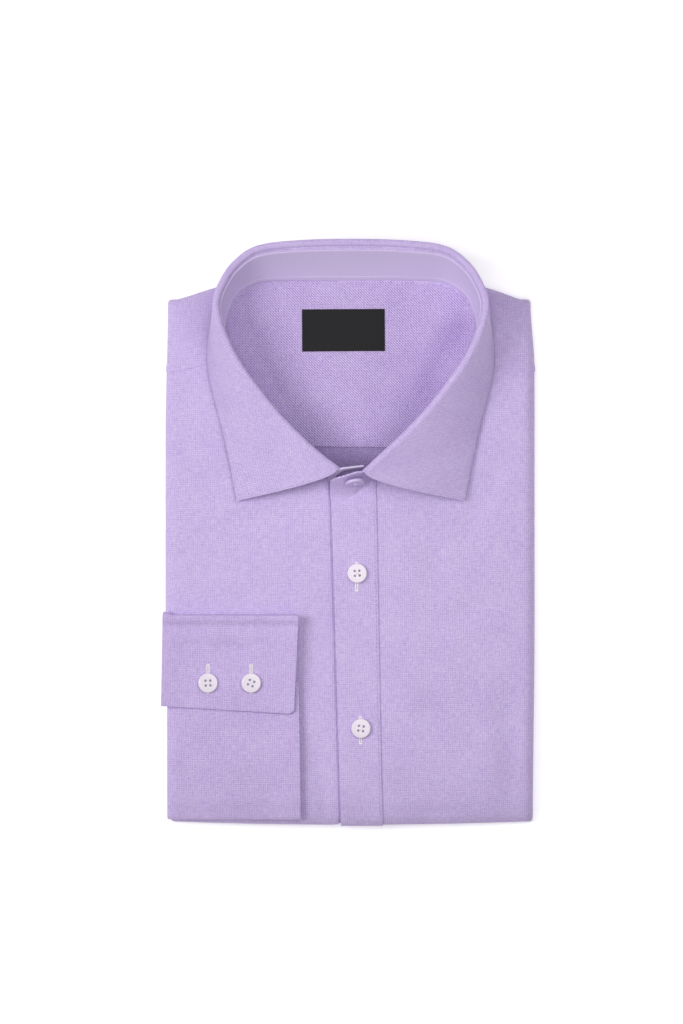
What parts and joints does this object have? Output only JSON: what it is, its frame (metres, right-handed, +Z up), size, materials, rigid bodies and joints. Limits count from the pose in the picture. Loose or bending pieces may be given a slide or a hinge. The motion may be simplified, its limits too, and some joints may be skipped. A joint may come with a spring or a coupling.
{
  "type": "folded long sleeve dress shirt",
  "caption": "Buttoned cotton dress shirt in a flat retail fold, with a standing spread collar, placket and a barrel cuff laid over the front.",
  "frame": {"origin": "middle of the folded shirt's footprint, on the surface that it lies on", "axes": "+Y from the lower fold to the collar, +Z up from the surface, +X to the viewer's right across the chest"},
  "size_m": [0.2302, 0.3624, 0.0464],
  "materials": {
    "folded_layers": "matt cotton weave",
    "front_left": "matt cotton weave",
    "front_right": "matt cotton weave",
    "front_placket": "matt cotton weave",
    "yoke": "matt cotton weave",
    "yoke_lining": "matt cotton weave",
    "back_panel": "matt cotton weave",
    "label": "woven satin, black",
    "collar_stand": "smooth pressed cotton",
    "collar_leaf": "pressed cotton weave",
    "cuff": "pressed cotton weave",
    "sleeve": "matt cotton weave",
    "front_button_1": "polished, pearly",
    "front_button_2": "polished, pearly",
    "cuff_button_1": "polished, pearly",
    "cuff_button_2": "polished, pearly",
    "neck_button": "polished, pearly"
  },
  "bodies": {
    "root": {"folded_layers": "folded_layers", "front_left": "front_left", "front_right": "front_right", "front_placket": "front_placket", "yoke": "yoke", "yoke_lining": "yoke_lining", "back_panel": "back_panel", "label": "label", "collar_stand": "collar_stand", "collar_leaf": "collar_leaf", "cuff": "cuff", "sleeve": "sleeve", "front_button_1": "front_button_1", "front_button_2": "front_button_2", "cuff_button_1": "cuff_button_1", "cuff_button_2": "cuff_button_2", "neck_button": "neck_button"}
  },
  "joints": []
}
